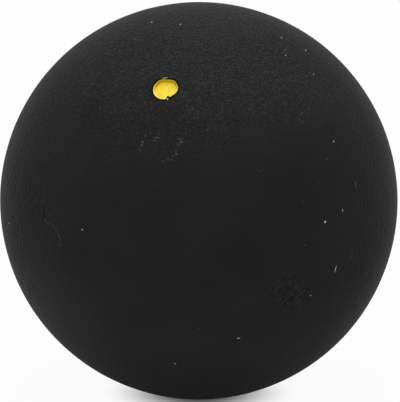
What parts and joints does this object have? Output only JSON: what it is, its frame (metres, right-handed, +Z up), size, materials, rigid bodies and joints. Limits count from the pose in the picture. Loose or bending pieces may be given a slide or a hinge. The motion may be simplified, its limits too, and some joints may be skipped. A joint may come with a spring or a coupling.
{
  "type": "squash ball",
  "caption": "Hollow black rubber squash ball with a matt buffed surface, a flush cemented seam and a small recessed yellow dot that shows its speed.",
  "frame": {"origin": "centre of the ball", "axes": "+Z up as pictured, +Y level from the front towards the rear half, +X to the right as seen from the front. The plane of the seam holds X and leans back 14 degrees from Z"},
  "size_m": [0.04, 0.04, 0.04],
  "materials": {
    "buffed_rubber": "matt, buffed",
    "rubber_cement": "satin",
    "dot_paint": "matt paint"
  },
  "bodies": {
    "root": {"front_half_shell": "buffed_rubber", "rear_half_shell": "buffed_rubber", "seam_cement": "rubber_cement", "yellow_dot": "dot_paint"}
  },
  "joints": []
}
